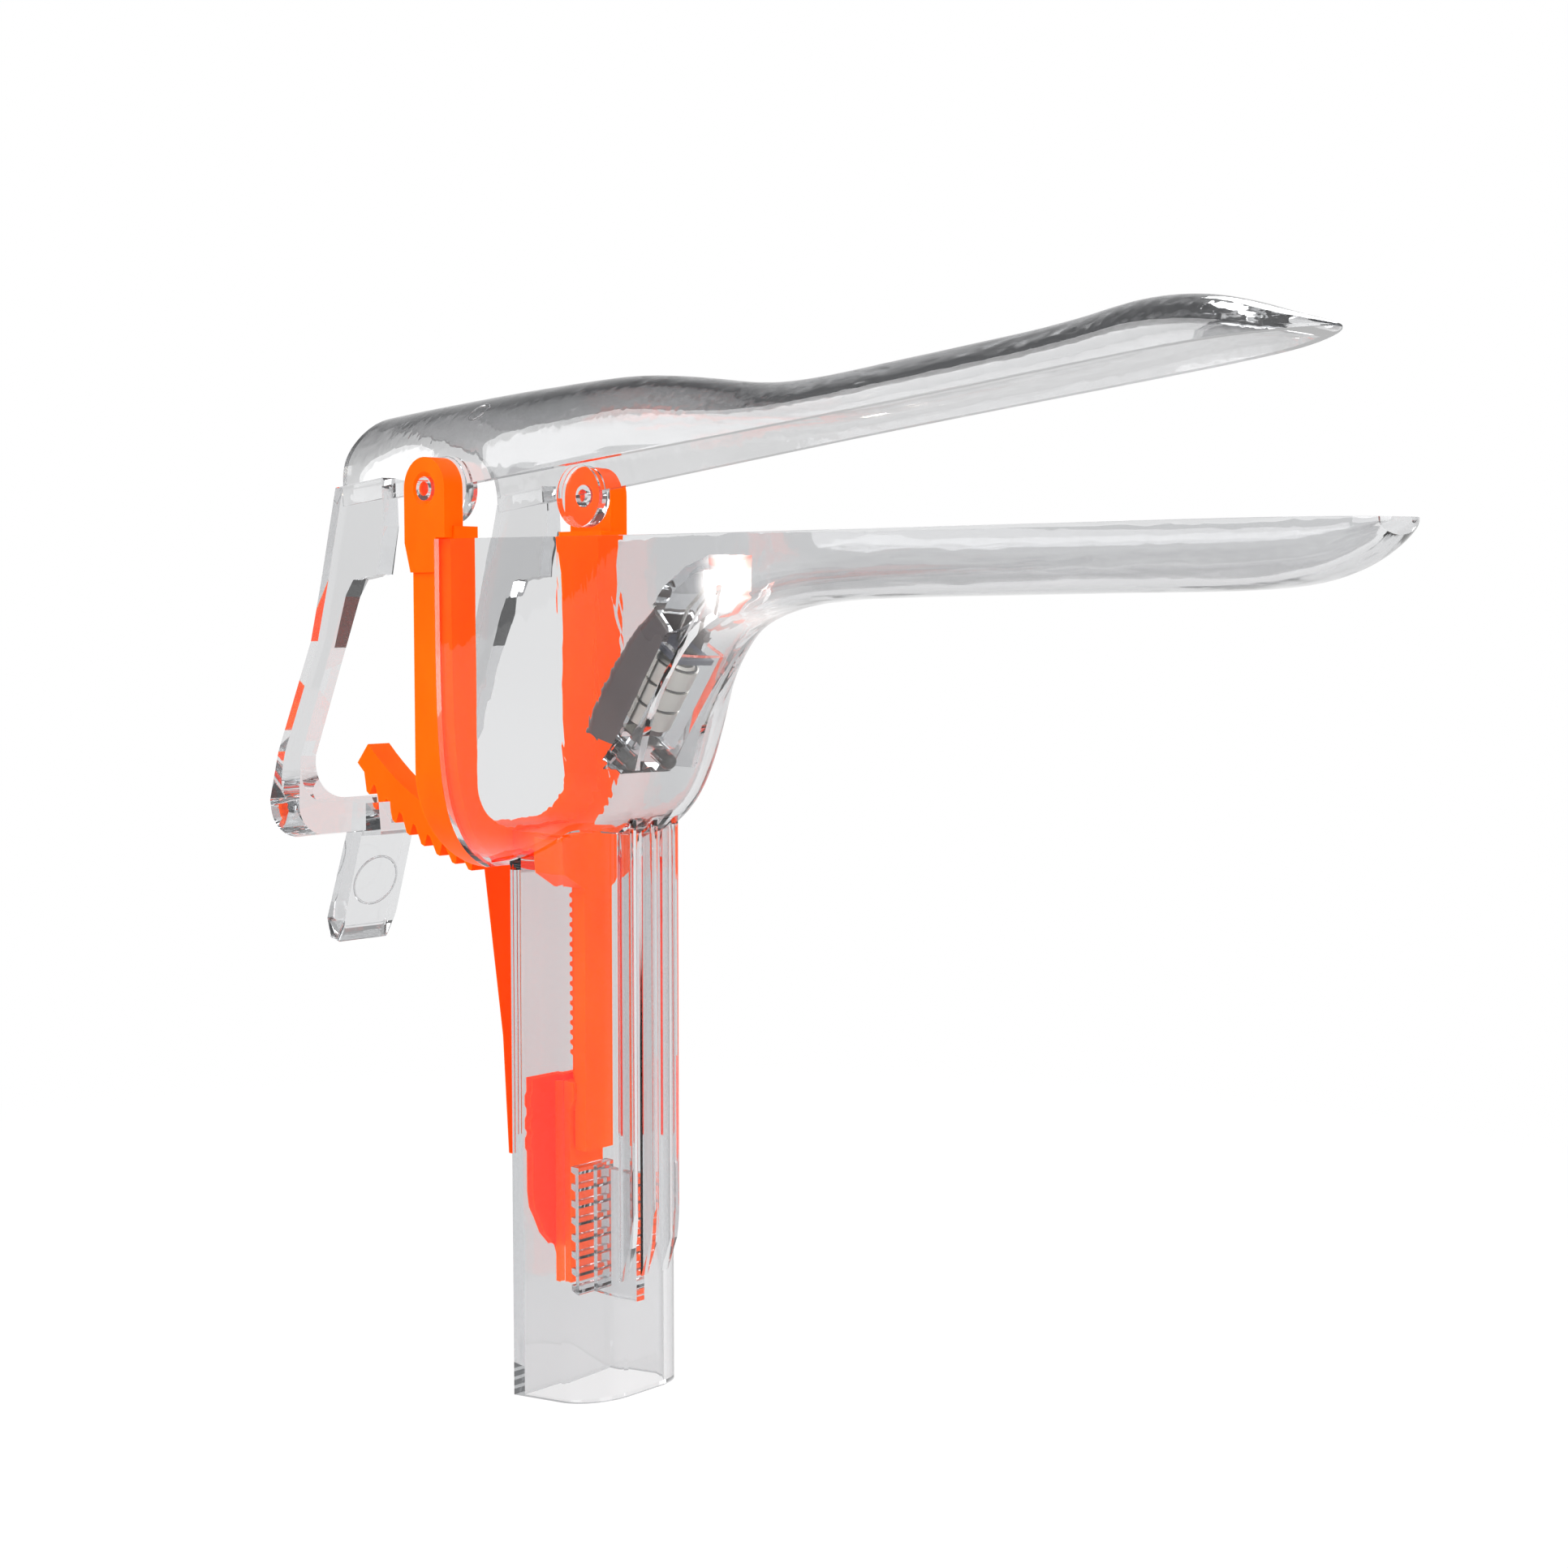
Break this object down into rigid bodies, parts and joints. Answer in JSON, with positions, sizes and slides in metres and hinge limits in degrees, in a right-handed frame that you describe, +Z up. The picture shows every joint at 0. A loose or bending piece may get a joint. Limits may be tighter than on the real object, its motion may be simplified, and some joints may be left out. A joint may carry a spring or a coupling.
{
  "type": "bivalve_speculum",
  "caption": "Disposable lighted bivalve speculum: clear blades on a sliding ratchet yoke, with a cell-powered lamp.",
  "frame": {"origin": "middle of the pivot axis that the upper blade turns about", "axes": "+X towards the blade tips, +Y across the blades, +Z up from the handle to the blades"},
  "size_m": [0.2198, 0.0432, 0.1773],
  "materials": {
    "clear": "gloss",
    "orange": "satin",
    "dark_cover": "satin",
    "black_part": "satin",
    "board": "satin",
    "diode": "gloss",
    "cell_steel": "satin",
    "bright_metal": "gloss"
  },
  "bodies": {
    "lower": {"lower_blade": "clear", "lamp_cover": "dark_cover", "lamp_carrier": "clear", "light_guide": "clear", "led": "diode", "led_leads": "bright_metal", "circuit_board": "board", "resistor": "black_part", "contact_spring": "bright_metal", "contact_strip": "bright_metal", "contact_post_near": "black_part", "contact_post_far": "black_part", "cell_1_can": "cell_steel", "cell_1_gasket": "black_part", "cell_1_cap": "cell_steel", "cell_2_can": "cell_steel", "cell_2_gasket": "black_part", "cell_2_cap": "cell_steel", "cell_3_can": "cell_steel", "cell_3_gasket": "black_part", "cell_3_cap": "cell_steel"},
    "yoke": {"yoke": "orange"},
    "upper": {"upper_blade": "clear"}
  },
  "joints": [
    {"name": "yoke_slide", "type": "slide", "parent": "lower", "child": "yoke", "axis": [0, 0, 1], "range_m": [0, 0.023]},
    {"name": "blade_hinge", "type": "hinge", "parent": "yoke", "child": "upper", "pos_m": [0, 0, 0], "axis": [0, -1, 0], "range_deg": [-8.4, 18]}
  ]
}
